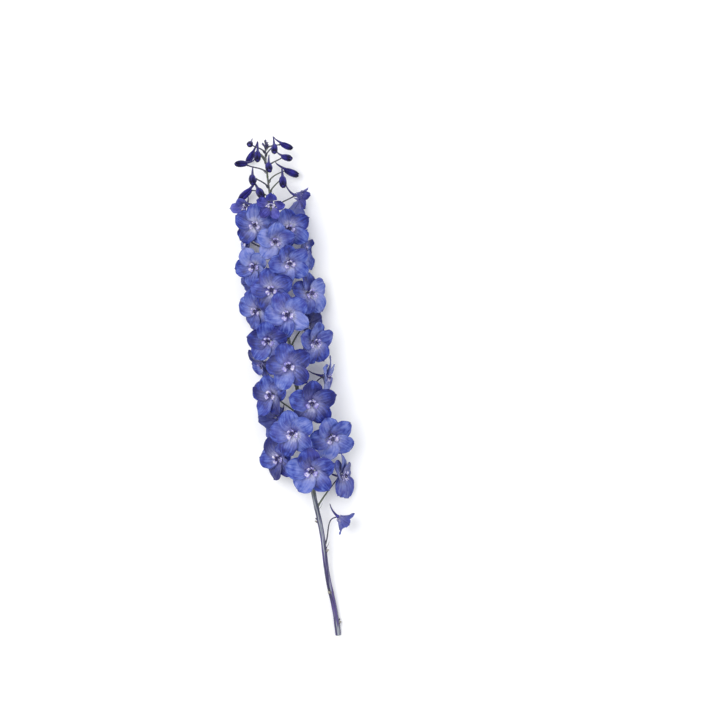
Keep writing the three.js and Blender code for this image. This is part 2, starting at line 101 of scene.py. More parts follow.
OPEN = SimpleNamespace(nod=12, opens=38, spreads=-6)
YOUNG = SimpleNamespace(reach=(29, 19), climb=(16, 9), nod=24)
OPENING = SimpleNamespace(opens=(66, 78), spreads=(14, 30), size=(19, 17))
LOOSENESS = {"open": 1, "opening": 0.6, "bud": 1.6, "tip": 2}

HUB_BACK, HUB_BACK_RADIUS, HUB_FRONT = -1.4, 2, 2
SEPAL_ROOT = {"open": 1.2, "opening": 3.2}
CLAW_TURN = 9
SPUR = SimpleNamespace(length=18, rise=5.5, radius=1.8, tip=0.5)
# Each sepal: angle round the face, and length and half width against the flower's size.
SEPALS = [(90, 0.95, 0.46), (162, 0.98, 0.47), (234, 1, 0.45), (306, 1, 0.45), (378, 0.98, 0.47)]
CLAW_ROW = 0.4
CLAW_END = 0.56  # where a sepal's narrow claw has become its broad limb
PINWHEEL = {"open": 1.45, "opening": 0.6}  # one edge of a sepal rises by this, the other sinks
BUD = SimpleNamespace(length=(17.5, 13.5), radius=(4.3, 3.4), spur=(16, 12.5))
BUD_BACK = (0.12, 0.5)
STALK = SimpleNamespace(radius=1.15, young_radius=0.9, tip_radius=0.72)
STALK_BALLS = np.array([0.3, 0.45, 0.6, 0.75, 0.9, 1])

# The seeded draws of a flower are numbered. Those of each part of it begin here.
ATTEMPT_DRAWS, SPUR_DRAWS, SEPAL_DRAWS, RELIEF_DRAWS, OUTLINE_DRAWS = 20, 90, 100, 200, 270
BRACT_DRAWS, PETAL_DRAWS, STAMEN_DRAWS, BUD_DRAWS, BEARD_DRAWS = 300, 400, 600, 800, 1000
FLOWER_TINT, SPUR_TINT, STALK_TINT = 95, 96, 97

UP = np.array([0.0, 0.0, 1.0])


def mix(a, b, t):
    return a + (b - a) * t


def fract(x):
    return x - math.floor(x)


def draw(k, n):
    """The n-th seeded random draw of flower k, from 0 to 1."""
    return fract(math.sin(k * 12.9898 + n * 78.233 + SEED * 3.7) * 43758.5453)


def jitter(k, n):
    """The same draw, from -1 to 1."""
    return 2 * draw(k, n) - 1


def phase(k, n):
    """The same draw, as an angle."""
    return 2 * math.pi * draw(k, n)


def bell(x, width):
    """1 where x is 0, and falling away on both sides."""
    return np.exp(-((x / width) ** 2))


def grid(along, across):
    """Two grids of values: one changes from row to row, the other from column to column."""
    return np.meshgrid(along, across, indexing="ij")


def unit(vector):
    return vector / np.linalg.norm(vector, axis=-1, keepdims=True)


def turned(vector, axis, angle):
    """A vector turned about a unit axis."""
    return (
        vector * math.cos(angle)
        + np.cross(axis, vector) * math.sin(angle)
        + axis * axis.dot(vector) * (1 - math.cos(angle))
    )


def smooth(low, high, x):
    """0 below low, 1 above high and a smooth step between them."""
    t = np.clip((x - low) / (high - low), 0, 1)
    return t * t * (3 - 2 * t)


def pressed(points, floor):
    """Points bent flat near the surface and never below floor."""
    points = np.array(points, dtype=float)
    z = points[..., 2]
    room = PRESS_FROM - floor
    low = PRESS_FROM - room * np.tanh((PRESS_FROM - z) / room)
    points[..., 2] = np.where(z > PRESS_FROM, z, low)
    return points


def stem_radius(s):
    return mix(STEM_RADIUS, TIP_RADIUS, np.clip(np.asarray(s) / STEM_LENGTH, 0, 1) ** 1.25)


def stem_point(s):
    s = np.asarray(s, dtype=float)
    lift = np.sin(math.pi / 2 * np.clip(s / RISE_LENGTH, 0, 1))
    swing = (np.maximum(0, s - SWING_START) / (STEM_LENGTH - SWING_START)) ** 2
    sideways = TIP_SWING * swing + KINK * np.sin(2 * math.pi * s / KINK_LENGTH)
    return np.stack([sideways, s, STEM_RADIUS - FLATTENED + STEM_RISE * lift], -1)


def stem_way(s):
    """The way the stem runs at s."""
    return unit(stem_point(s + 1) - stem_point(s - 1))


def stem_side(s, turn):
    """The way out of the stem at s, at an angle from straight up."""
    way = stem_way(s)
    top = unit(UP - way * UP.dot(way))
    return top * math.cos(turn) + np.cross(way, top) * math.sin(turn)


def kind_of(k):
    return [kind for kind, first in FIRST_OF_KIND.items() if first <= k][-1]


def hang(k, kind, root, climb, azimuth, reach, nod, yaw, roll, size, opens, spreads):
    """A flower held out from the stem: opens and spreads are its sepals' slopes at root and tip."""
    s = min(root + climb, STEM_LENGTH - 1)
    way = stem_way(s)
    out = stem_side(s, math.radians(azimuth))
    straight = turned(out, way, math.radians(yaw))
    drop = math.radians(nod)
    face = straight * math.cos(drop) - way * math.sin(drop)
    upright = way * math.cos(drop) + straight * math.sin(drop)
    up = turned(upright, face, math.radians(roll))
    return SimpleNamespace(
        k=k, kind=kind, root=root, out=out, face=face, up=up, size=size,
        scale=size / SEPAL_LENGTH[0], height=root / STEM_LENGTH,
        across=np.cross(up, face),
        hub=stem_point(s) + out * reach,
        arrival=face * ARRIVAL[0] + upright * ARRIVAL[1],
        opens=math.radians(opens), spreads=math.radians(spreads),
    )


def flower_at(k, attempt):
    """Flower k at an attempt: later attempts stray further from its place in the spiral."""
    kind = kind_of(k)
    is_open = kind == "open"
    loose = LOOSENESS[kind]
    stray = attempt / ATTEMPTS
    salt = ATTEMPT_DRAWS + attempt * 6
    age = min(1, k / (OPEN_FLOWERS - 1))
    youth = max(0, (k - OPEN_FLOWERS) / (FLOWERS - 1 - OPEN_FLOWERS))
    closing = (k - OPEN_FLOWERS) / OPENING_FLOWERS
    t = k / (FLOWERS - 1)
    root = FIRST_STALK + (LAST_STALK - FIRST_STALK) * (LOW_SPACING * t + (1 - LOW_SPACING) * t * t)
    climb = mix(*CLIMB, age) if is_open else mix(*YOUNG.climb, youth)
    climb += 7 * stray * jitter(k, salt)
    spiral = SPIRAL * k * GOLDEN_ANGLE + FIRST_AZIMUTH + 0.9 * stray * jitter(k, salt + 1)
    turn = 2 * (fract(spiral / (2 * math.pi) + 0.5) - 0.5)  # -1 to 1, and 0 straight up
    wide = (root + climb - WIDENING[0]) / (WIDENING[1] - WIDENING[0])
    azimuth = math.copysign(abs(turn) ** FACING_UP, turn) * mix(*WIDEST_AZIMUTH, min(1, max(0, wide)))
    reach = mix(*REACH, age) if is_open else mix(*YOUNG.reach, youth**0.8)
    nod = OPEN.nod if is_open else YOUNG.nod
    size = mix(*SEPAL_LENGTH, age) if is_open else mix(*OPENING.size, closing)
    turned_up = mix(*TURNED_UP, draw(k, 9)) * math.sin(math.pi * turn)
    return hang(
        k, kind, root, climb, azimuth,
        reach=reach * (1 + 0.06 * jitter(k, 2) + 0.22 * stray * draw(k, salt + 2)),
        nod=nod + loose * (14 * jitter(k, 3) + 10 * stray * jitter(k, salt + 3)),
        yaw=loose * (9 * jitter(k, 4) + 9 * stray * jitter(k, salt + 4)) - turned_up,
        roll=loose * (14 * jitter(k, 5) + 20 * stray * jitter(k, salt + 5)),
        size=size * (1 + 0.05 * jitter(k, 6)),
        opens=OPEN.opens + 7 * jitter(k, 7) if is_open else mix(*OPENING.opens, closing),
        spreads=OPEN.spreads + 14 * jitter(k, 8) if is_open else mix(*OPENING.spreads, closing),
    )


def round_face(flower, angle, distance, forward):
    """Points of a flower: at an angle and distance round its axis, and so far forward along it."""
    angle, distance, forward = np.broadcast_arrays(angle, distance, forward)
    return (
        flower.hub
        + flower.across * (distance * np.cos(angle))[..., None]
        + flower.up * (distance * np.sin(angle))[..., None]
        + flower.face * forward[..., None]
    )


def limb_width(u):
    """A sepal's half width at u, as a share of the widest: a narrow claw, then a broad round limb."""
    claw = 0.14 + 0.86 * np.sin(math.pi / 2 * (np.clip(u, 0, 1) / CLAW_END) ** 1.3)
    limb = np.sqrt(1 - np.clip((u - CLAW_END) / 0.47, 0, 0.95) ** 2)
    return np.where(u < CLAW_END, claw, limb)


def sepal_surface(flower, n, u, v, relief=None, spread=1.0, low=LOW_EDGE):
    """The middle surface of sepal n. relief(u, v) gives finer lifts of it, in mm, and spread widens it."""
    angle, length, width = SEPALS[n]
    salt = SEPAL_DRAWS + n * 10
    k = flower.k
    length *= flower.size * (1 + 0.05 * jitter(k, salt))
    widest = flower.size * width * (1 if flower.kind == "open" else 0.72) * spread
    middle = math.radians(angle + 3 * jitter(k, salt + 2))
    start = flower.opens
    bend = flower.spreads + math.radians(2) * jitter(k, salt + 4) - start
    curl = 0.04 + 0.04 * jitter(k, salt + 5)
    wave = 0.3 + 0.15 * jitter(k, salt + 6)
    under = np.sign(flower.face[2])  # which edge of a pressed sepal lies under its neighbour
    run = u - 0.1 * u**3 * v * v
    slope = start + bend * run
    away = SEPAL_ROOT[flower.kind] + length * (np.sin(slope) - math.sin(start)) / bend
    forward = length * (math.cos(start) - np.cos(slope)) / bend
    half = widest * limb_width(run)
    turn = middle + half * v / np.maximum(away, CLAW_TURN)
    lift = (
        PINWHEEL[flower.kind] * v * mix(0.3, 1, np.clip(u / CLAW_ROW, 0, 1))
        + curl * half * v * v
        + wave * u**3 * v * v * np.sin(7 * u + 2.2 * v + phase(k, salt + 7))
    )
    if relief is not None:
        lift = lift + relief(u, v)
    points = round_face(flower, turn, away - np.sin(slope) * lift, forward + np.cos(slope) * lift)
    return pressed(points, low + PRESSED_RISE * (1 + under * v))


def spur_point(flower, t):
    """The spur's middle line: back from the root of the upper sepal, then curving up."""
    back = SPUR.length * (0.85 + 0.2 * draw(flower.k, SPUR_DRAWS)) * (1 if flower.kind == "open" else 0.9)
    rise = SPUR.rise * (1 + 0.7 * jitter(flower.k, SPUR_DRAWS + 1))
    lean = 2.5 * jitter(flower.k, SPUR_DRAWS + 2)
    t = np.asarray(t, dtype=float)[..., None]
    line = flower.hub - flower.face * back * t + flower.up * (0.5 + rise * t * t)
    return pressed(line + flower.across * lean * t * t, 1.2)


def spur_radius(t):
    return mix(SPUR.radius, SPUR.tip, np.clip(t, 0, 1) ** 0.75)


def bud_size(flower):
    """A bud's length and radius, and the length of its spur."""
    late = (flower.k - OPEN_FLOWERS - OPENING_FLOWERS) / (BUDS + TIP_BUDS - 1)
    return mix(*BUD.length, late), mix(*BUD.radius, late), mix(*BUD.spur, late)


def neck(flower):
    """How far from a flower's hub its stalk ends."""
    if flower.kind == "tip":
        return 0
    if flower.kind == "bud":
        length, radius, _ = bud_size(flower)
        return ARRIVAL[0] * BUD_BACK[0] * length + ARRIVAL[1] * BUD_BACK[1] * radius + GAP
    return ARRIVAL[1] * HUB_BACK_RADIUS - ARRIVAL[0] * HUB_BACK + GAP


def stalk_point(flower, t):
    """A stalk's middle line: it leaves along the stem, bends out and meets its flower."""
    start = stem_point(flower.root)
    way = stem_way(flower.root)
    end = flower.hub - flower.arrival * neck(flower)
    span = np.linalg.norm(end - start)
    bend = start + way * 0.3 * span + flower.out * 0.25 * span
    points = [start, bend, end - flower.arrival * 0.32 * span, end]
    t = np.asarray(t, dtype=float)[..., None]
    shares = [(1 - t) ** 3, 3 * t * (1 - t) ** 2, 3 * t * t * (1 - t), t**3]
    return sum(share * point for share, point in zip(shares, points))


def balls_of(flower):
    """Balls that fill a flower and its stalk: points, radii and which of them are stalk."""
    points = [stalk_point(flower, STALK_BALLS)]
    radii = [np.full(len(STALK_BALLS), 0.9)]
    if flower.kind in ("bud", "tip"):
        length, radius, spur = bud_size(flower)
        for t in (0, 0.5, 0.9):
            points.append((flower.hub + flower.face * length * t)[None])
            radii.append([radius])
        for t in (0.5, 1):
            points.append((flower.hub - flower.face * spur * t)[None])
            radii.append([0.8])
    else:
        u, v = grid([0.4, 0.7, 0.97], [-0.9, 0, 0.9])
        for n in range(len(SEPALS)):
            points.append(sepal_surface(flower, n, u, v).reshape(-1, 3))
            radii.append(np.full(u.size, 1.9))
        spur = np.array([0.3, 0.65, 1])
        points += [spur_point(flower, spur), (flower.hub + flower.face * 6)[None], flower.hub[None]]
        radii += [spur_radius(spur), [4.5], [2.6]]
    points = np.concatenate(points)
    return points, np.concatenate(radii), np.arange(len(points)) < len(STALK_BALLS)


def crowding(balls, taken):
    """How deep a flower's balls reach into those already there, the stem and the surface."""
    points, radii, stalk = balls
    s = points[:, 1]
    beside = np.linalg.norm(stem_point(np.clip(s, 0, STEM_LENGTH)) - points, axis=1)
    under = np.maximum(0, -PRESS_FROM - points[:, 2])
    stem = np.maximum(0, radii + CLEAR + stem_radius(s) - beside) + under
    apart = np.linalg.norm(points[:, None] - taken[0][None], axis=2)
    near = np.maximum(0, radii[:, None] + taken[1][None] + CLEAR - apart)
    return stem[~stalk].sum() + near[~(stalk[:, None] & taken[2][None])].sum()


side_flower = hang(FLOWERS, "opening", yaw=20, roll=10, opens=72, spreads=24, **SIDE_SHOOT)


def placed_flowers():
    """Every flower from the lowest up, each at its first attempt that hangs clear, or else its best."""
    taken = balls_of(side_flower)
    flowers = []
    for k in range(FLOWERS):
        best = None
        for attempt in range(ATTEMPTS):
            flower = flower_at(k, attempt)
            balls = balls_of(flower)
            crowd = crowding(balls, taken)
            if best is None or crowd < best[0]:
                best = (crowd, flower, balls)
            if crowd == 0:
                break
        taken = tuple(np.concatenate([old, new]) for old, new in zip(taken, best[2]))
        flowers.append(best[1])
    return flowers


# ---- meshes


def new_object(name, data):
    thing = bpy.data.objects.new(name, data)
    bpy.context.scene.collection.objects.link(thing)
    return thing


class Shape:
    """Points, faces and per-point data that become one mesh of several materials.

    place is (along, across, front), and mood is (tint, flare, age) or a tint alone. The materials read them.
    """

    def __init__(self):
        self.points, self.place, self.mood = [], [], []
        self.faces, self.slots = [], []
        self.count = 0

    def add(self, points, faces, slot, place, mood):
        points = np.asarray(points).reshape(-1, 3)
        start, self.count = self.count, self.count + len(points)
        self.points.append(points)
        self.place.append(place)
        self.mood.append(np.broadcast_to(mood, points.shape))
        for group in faces:
            self.faces += (np.asarray(group) + start).tolist()
            self.slots += [slot] * len(group)

    def object(self, name, materials):
        points = (np.concatenate(self.points) - [MIDDLE_X, MIDDLE_Y, 0]) * MM
        mesh = bpy.data.meshes.new(name)
        mesh.from_pydata(points.tolist(), [], self.faces, shade_flat=False)
        for reading, rows in (("place", self.place), ("mood", self.mood)):
            data = mesh.attributes.new(reading, "FLOAT_VECTOR", "POINT").data
            data.foreach_set("vector", np.concatenate(rows).astype(np.float32).ravel())
        used = sorted(set(self.slots))
        for slot in used:
            mesh.materials.append(materials[slot])
        number = {slot: i for i, slot in enumerate(used)}
        mesh.polygons.foreach_set("material_index", [number[slot] for slot in self.slots])
        mesh.set_sharp_from_angle(angle=math.radians(70))
        mesh.update()
        return new_object(name, mesh)


def grid_faces(rows, columns, closed=False):
    """Quads over a grid of points, row after row. A closed one joins its last column to its first."""
    i, j = grid(np.arange(rows - 1), np.arange(columns if closed else columns - 1))
    a = i * columns + j
    b = i * columns + (j + 1) % columns
    return np.stack([a, b, b + columns, a + columns], -1).reshape(-1, 4)


def add_blade(shape, middle, u, v, thickness, slot, mood):
    """A closed thin blade round a grid of points: rows run along it, columns across it."""
    rows, columns = middle.shape[:2]
    along = np.gradient(middle, axis=0)
    across = np.gradient(middle, axis=1)
    normal = unit(np.cross(along, across))
    half = np.asarray(thickness)[..., None] / 2
    faces = grid_faces(rows, columns)
    total = rows * columns
    rim = np.concatenate([
        np.arange(rows) * columns,
        (rows - 1) * columns + np.arange(1, columns),
        np.arange(rows - 2, -1, -1) * columns + columns - 1,
        np.arange(columns - 2, 0, -1),
    ])
    ahead = np.roll(rim, -1)
    edge = np.stack([ahead, rim, rim + total, ahead + total], -1)
    place = np.concatenate([
        np.stack([u, v, np.full_like(u, side)], -1).reshape(-1, 3) for side in (1.0, 0.0)
    ])
    points = np.concatenate([(middle + normal * half * side).reshape(-1, 3) for side in (1, -1)])
    shape.add(points, [faces[:, ::-1], faces + total, edge], slot, place, mood)


def there_and_back(turn):
    """0 on one side of a tube, 1 on the other, and the same over it as under it, so that no seam shows."""
    return np.abs((turn / math.pi + 0.5) % 2 - 1)


def circle(sides):
    """The angles of a ring's points."""
    return 2 * math.pi * np.arange(sides) / sides


def ring(centre, radius, x, y, turn):
    """Points round a centre, in the plane of x and y. radius is one number, or one for each point."""
    reach = (radius * np.ones(len(turn)))[:, None]
    return centre + reach * (np.cos(turn)[:, None] * x + np.sin(turn)[:, None] * y)


def add_rings(shape, rings, ends, along, end_places, slot, mood, low=0.0):
    """Rings of points closed by a point at each end, with nothing of them below low."""
    rows, sides = len(rings), len(rings[0])
    points = np.concatenate([*rings, ends])
    points[:, 2] = np.maximum(points[:, 2], low)
    a = np.arange(sides)
    b = (a + 1) % sides
    first = np.full(sides, rows * sides)
    end = (rows - 1) * sides
    faces = [
        grid_faces(rows, sides, closed=True),
        np.stack([first, b, a], -1),
        np.stack([first + 1, end + a, end + b], -1),
    ]
    across = np.tile(there_and_back(circle(sides)), rows)
    front = np.full(rows * sides, end_places[0][2])
    place = np.stack([np.repeat(along, sides), across, front], -1)
    shape.add(points, faces, slot, np.concatenate([place, end_places]), mood)


def add_tube(shape, line, radii, sides, slot, mood, ribs=None):
    """A closed round tube along a line of points. ribs(t, turn) scales its radius."""
    line = np.asarray(line, dtype=float)
    rows = len(line)
    way = unit(np.gradient(line, axis=0))
    x = UP if abs(way[0][2]) < 0.8 else np.array([1.0, 0, 0])
    turn = circle(sides)
    rings = []
    for i in range(rows):
        x = unit(x - way[i] * x.dot(way[i]))
        swell = 1 if ribs is None else ribs(i / (rows - 1), turn)
        rings.append(ring(line[i], radii[i] * swell, x, np.cross(way[i], x), turn))
    end_places = [(0, 0.5, 0.5), (1, 0.5, 0.5)]
    add_rings(shape, rings, line[[0, -1]], np.linspace(0, 1, rows), end_places, slot, mood)


def ribbed(number):
    """Low ribs along a tube."""
    return lambda _, turn: 1 + 0.05 * np.cos(number * turn)


def add_bead(shape, centre, axis, length, radius, slot, mood, sides=7, rows=6):
    """A small rounded body along an axis."""
    t = np.linspace(0, 1, rows)
    line = centre + unit(axis) * (length * (t - 0.5))[:, None]
    add_tube(shape, line, radius * np.sqrt(np.clip(4 * t * (1 - t), 0.02, 1)), sides, slot, mood)


# ---- sepals and spurs

SEPAL_ROWS, SEPAL_COLUMNS = 29, 23
SEPAL_THICKNESS = 0.34
LOWER_SEPALS = (2, 3)
SEPAL_SPREAD = {"open": 1.07, "opening": 1.12}  # how much wider they are than the solids'
CLAW_SPREAD = 1.2  # how much wider the claws are than the solids', to close round the bee
SIDE_LIFT = 0.7  # mm that one side of a sepal rises by and the other sinks by, to pass its neighbours
VISIBLE_LOW = 0.3  # pressed sepals lie this far above the surface


def sepal_relief(flower, n):
    """The finer shape of a sepal: a folded midrib, soft pleats and a ruffled margin, in mm."""
    k, salt = flower.k, RELIEF_DRAWS + n * 12
    phases = [phase(k, salt + i) for i in range(5)]
    ruffle = 0.5 + 1.1 * draw(k, salt + 5)
    pleat = 0.15 + 0.3 * draw(k, salt + 6)
    tilt, cup = 1.0 * jitter(k, salt + 7), 0.5 + 0.7 * jitter(k, salt + 8)
    tip, twist = 1.8 * jitter(k, salt + 9), SIDE_LIFT + 0.4 * jitter(k, salt + 10)

    def relief(u, v):
        margin = np.maximum(np.abs(v) ** 3, smooth(0.72, 1, u)) * smooth(0.2, 0.7, u)
        broad = np.sin(6.5 * u + 3.1 * v + phases[0]) + 0.5 * np.sin(12 * u - 6 * v + phases[1])
        fine = np.sin(23 * u + 9 * v + phases[2]) * np.sin(5 * u + phases[3])
        midrib = -0.55 * bell(v, 0.12) * (1 - 0.7 * u)
        pleats = pleat * np.cos(2 * math.pi * 2.3 * v + phases[4]) * smooth(0.08, 0.35, u) * (1 - 0.6 * u)
        bowl = tilt * u**2 + cup * v * v * u + twist * v * smooth(0.1, 0.6, u) + tip * smooth(0.65, 1, u)
        return flower.scale * (ruffle * margin * (0.6 * broad + 0.22 * fine) + midrib + pleats + bowl)

    return relief


def add_sepal(shape, flower, n):
    k, salt = flower.k, OUTLINE_DRAWS + n * 7
    columns = np.sin(np.linspace(-1, 1, SEPAL_COLUMNS) * 1.25) / math.sin(1.25)  # closer at the edges
    u, v = grid(np.linspace(0.03, 1, SEPAL_ROWS), columns)
    # The outline isn't quite even, and each sepal ends in a small blunt point.
    uneven = 0.028 * np.sin(9 * u + phase(k, salt)) + 0.018 * np.sin(21 * u + phase(k, salt + 1))
    across = v * (1 + uneven * smooth(0.25, 0.6, u)) * mix(CLAW_SPREAD, 1, smooth(0.1, 0.4, u))
    scallop = 0.012 * np.sin(7 * v + phase(k, salt + 2)) + 0.03 * bell(v, 0.16)
    along = u * (1 + (scallop - 0.05 * v**8) * smooth(0.75, 1, u))
    middle = sepal_surface(
        flower, n, along, across, sepal_relief(flower, n), SEPAL_SPREAD[flower.kind], VISIBLE_LOW
    )
    thickness = SEPAL_THICKNESS * (1 - 0.55 * np.maximum(np.abs(v) ** 4, smooth(0.8, 1, u)))
    fresh = 0.25 * smooth(0.55, 0.85, flower.height)
    flare = (0.95 if n in LOWER_SEPALS else 0.6 + fresh) * mix(0.25, 1, draw(k, salt + 3))
    tint = 0.4 * draw(k, FLOWER_TINT) + 0.6 * draw(k, salt + 4) + fresh
    mood = (tint, flare, 1.0 if flower.kind == "opening" else 0.0)
    add_blade(shape, middle, u, v, thickness, "sepal", mood)


def add_spur(shape, flower):
    t = np.linspace(0, 1, 20)
    line = spur_point(flower, t)
    hook = smooth(0.75, 1, t)[:, None]
    line = line + flower.up * 0.7 * hook - flower.face * 0.4 * hook
    radii = spur_radius(t) * (1 - 0.55 * smooth(0.93, 1, t)) * (1 + 0.35 * (1 - smooth(0, 0.12, t)))
    add_tube(shape, line, radii, 14, "spur", draw(flower.k, SPUR_TINT), ribbed(3))


def add_receptacle(shape, flower):
    """The small swelling that a stalk ends in, and that the sepals grow from."""
    t = np.linspace(0, 1, 9)
    line = flower.hub + flower.face * mix(-2.1, 1.7, t)[:, None]
    radii = np.interp(t, [0, 0.12, 0.35, 0.7, 1], [0.9, 1.7, 2.15, 2.2, 1.7])
    add_tube(shape, line, radii * flower.scale * 1.05, 12, "stalk", draw(flower.k, STALK_TINT))


def flower_shape(flower):
    shape = Shape()
    for n in range(len(SEPALS)):
        add_sepal(shape, flower, n)
    add_spur(shape, flower)
    add_receptacle(shape, flower)
    if flower.kind == "opening":
        add_bee(shape, flower, YOUNG_BEE_SIZE)
    return shape


# ---- the bee: small petals and stamens

# A small petal's reach, height, half width in degrees, how far its limb turns out and how deep its notch is.
UPPER_PETAL = SimpleNamespace(reach=4.4, height=7.8, half=25, turn_out=1.5, lobe=0.35)
LOWER_PETAL = SimpleNamespace(reach=5.8, height=5.8, half=31, turn_out=1.9, lobe=0.6)
BEE_PETALS = [(60, UPPER_PETAL), (120, UPPER_PETAL), (210, LOWER_PETAL), (330, LOWER_PETAL)]
STAMENS = 14
BEARD = 26  # hairs on each lower petal
BEE_SIZE = 1.2
YOUNG_BEE_SIZE = 1.05


def petal_reach(form, run):
    """How far out and how high a small petal is at a share of its run."""
    away = mix(1.5, form.reach - 1.2, run**0.8) + form.turn_out * smooth(0.35, 1, run) ** 1.5
    return away, form.height * np.sin(run * 1.75) / math.sin(1.75)


def add_bee_petal(shape, flower, n, angle, form, scale):
    k, salt = flower.k, PETAL_DRAWS + n * 9
    u, v = grid(np.linspace(0, 1, 15), np.linspace(-1, 1, 13))
    notch = form.lobe * bell(v, 0.22) * smooth(0.75, 1, u)
    run = u * (1 - 0.12 * v**2 * u**2) - 0.16 * notch
    away, height = petal_reach(form, run)
    away = away + 0.25 * jitter(k, salt)
    height = height * (0.9 + 0.14 * jitter(k, salt + 1))
    width = np.sin(np.clip(run, 0, 1) * 2.35 + 0.22) ** 0.8
    middle = math.radians(angle + 5 * jitter(k, salt + 2))
    turn = middle + math.radians(form.half) * width * v * (1 + 0.25 * (1 - run))
    ruffle = 0.22 * np.sin(9 * v + 8 * u + 6 * draw(k, salt + 3)) * u**2 * np.abs(v)
    cup = 0.5 * v * v * (1 - 1.7 * smooth(0.35, 1, run)) + ruffle
    points = round_face(flower, turn, (away - cup) * scale, HUB_FRONT - 0.6 + (height + 0.4 * cup) * scale)
    add_blade(shape, pressed(points, 0.5), u, v, 0.24 * (1 - 0.4 * u), "bee", draw(k, salt + 4))


def add_beard(shape, flower, n, angle, form, scale):
    """Short pale hairs on the limb of a lower petal."""
    k = flower.k
    for i in range(BEARD):
        salt = BEARD_DRAWS + n * 200 + i * 4
        turn = math.radians(angle + form.half * 0.75 * jitter(k, salt))
        away, height = petal_reach(form, mix(0.45, 0.85, draw(k, salt + 1)))
        root = round_face(flower, turn, away * scale, HUB_FRONT - 0.5 + height * scale)
        lean = flower.face * 1.1 + flower.out * 0.1 + flower.up * (0.5 + 0.5 * jitter(k, salt + 2))
        lean = unit(lean + flower.across * 0.6 * jitter(k, salt + 3))
        t = np.linspace(0, 1, 4)[:, None]
        hair = root + lean * 1.5 * t + flower.up * 0.35 * t * t
        add_tube(shape, pressed(hair, 0.4), [0.085, 0.07, 0.05, 0.02], 3, "hair", draw(k, salt))


def add_stamens(shape, flower, scale):
    k = flower.k
    for i in range(STAMENS):
        salt = STAMEN_DRAWS + i * 5
        turn = GOLDEN_ANGLE * i
        away = 0.4 + 1.25 * math.sqrt((i + 0.5) / STAMENS)
        reach = mix(4.6, 6.6, draw(k, salt))
        root = round_face(flower, turn, away * 0.7 * scale, HUB_FRONT - 0.5)
        turn = turn + 0.3 * jitter(k, salt + 1)
        tip = round_face(flower, turn, away * 1.25 * scale, HUB_FRONT + reach * scale)
        t = np.linspace(0, 1, 5)[:, None]
        bow = flower.up * (-0.9 * scale) * np.sin(math.pi * t) * (0.5 + 0.5 * draw(k, salt + 2))
        line = pressed(mix(root, tip, t) + bow, 0.6)
        add_tube(shape, line, [0.17, 0.15, 0.13, 0.11, 0.09], 4, "filament", draw(k, salt + 3))
        axis = line[-1] - line[-2] + flower.up * 0.3
        add_bead(shape, line[-1], axis, 1.3 * scale, 0.44 * scale, "anther", draw(k, salt + 4))


def add_bee(shape, flower, size):
    scale = flower.scale * size
    for n, (angle, form) in enumerate(BEE_PETALS):
        add_bee_petal(shape, flower, n, angle, form, scale)
        if form is LOWER_PETAL:
            add_beard(shape, flower, n, angle, form, scale)
    add_stamens(shape, flower, scale)


def bee_shape(flower):
    shape = Shape()
    add_bee(shape, flower, BEE_SIZE)
    return shape


# ---- buds

BUD_SEPALS = 5
# A bud's outline: shares of its length, and of its radius there.
BUD_OUTLINE = (
    [-0.12, 0, 0.12, 0.3, 0.5, 0.7, 0.85, 0.95, 1.05],
    [0.3, 0.7, 0.86, 0.97, 1.02, 0.98, 0.82, 0.58, 0.26],
)


def bud_shape(flower):
    """A closed bud: five sepals wrapped over each other, and a long spur behind the upper one."""
    shape = Shape()
    length, radius, spur = bud_size(flower)
    k = flower.k
    u, v = grid(np.linspace(0, 1, 19), np.linspace(-1, 1, 13))
    for n in range(BUD_SEPALS):
        salt = BUD_DRAWS + n * 8
        t = mix(-0.1, 1 + 0.05 * jitter(k, salt), u) - 0.06 * u**4 * v * v
        middle = math.radians(90 + 72 * n + 5 * jitter(k, salt + 1))
        half = math.radians(50) * (1 - 0.25 * u**3)
        overlap = 0.075 * v + 0.045 * (n % 2)
        keel = 0.07 * bell(v, 0.16) * np.sin(math.pi * np.clip(u, 0, 1)) - 0.05 * v * v
        parting = 0.14 * smooth(0.85, 1, u) * draw(k, salt + 2)
        reach = radius * (0.93 * np.interp(t, *BUD_OUTLINE) + overlap + keel + parting)
        points = round_face(flower, middle + half * v, reach, length * t)
        tint = 0.5 * draw(k, FLOWER_TINT) + 0.5 * draw(k, salt + 3)
        add_blade(shape, pressed(points, 0.4), u, v, 0.32 * (1 - 0.5 * v * v), "bud", tint)
    # What shows between the tips: the folded petals within.
    t = np.linspace(-0.1, 0.95, 14)
    core = flower.hub + flower.face * (length * t)[:, None]

    def folds(t, turn):
        return 1 + 0.1 * t * np.cos(5 * turn + 6 * t)

    radii = radius * 0.8 * np.interp(t, *BUD_OUTLINE)
    add_tube(shape, pressed(core, 0.8), radii, 20, "bud_core", 0.5, folds)
    t = np.linspace(0, 1, 16)
    rise = 0.25 * radius + 0.2 * spur * t * t + 0.8 * smooth(0.8, 1, t)
    forward = 0.12 * length * (1 - t) - spur * t
    line = pressed(round_face(flower, math.pi / 2, rise, forward), 0.7)
    radii = radius * np.interp(t, [0, 0.08, 0.25, 0.6, 0.93, 1], [0.62, 0.5, 0.4, 0.28, 0.17, 0.07])
    add_tube(shape, line, radii, 12, "spur", draw(k, SPUR_TINT))
    return shape


# ---- stem, stalks and bracts

STEM_ROWS, STEM_SIDES = 260, 40
YOUNGEST = 7  # tiny buds at the very tip
# The cut face from its rim inwards: shares of the stem's radius, and how far it stands out.
CUT_SHARES = (0.985, 0.99, 0.9, 0.75, 0.5, 0.36, 0.3, 0.06)
CUT_HEIGHTS = (0, 0.12, 0.2, 0.14, 0.16, 0.02, -0.5, -0.7)


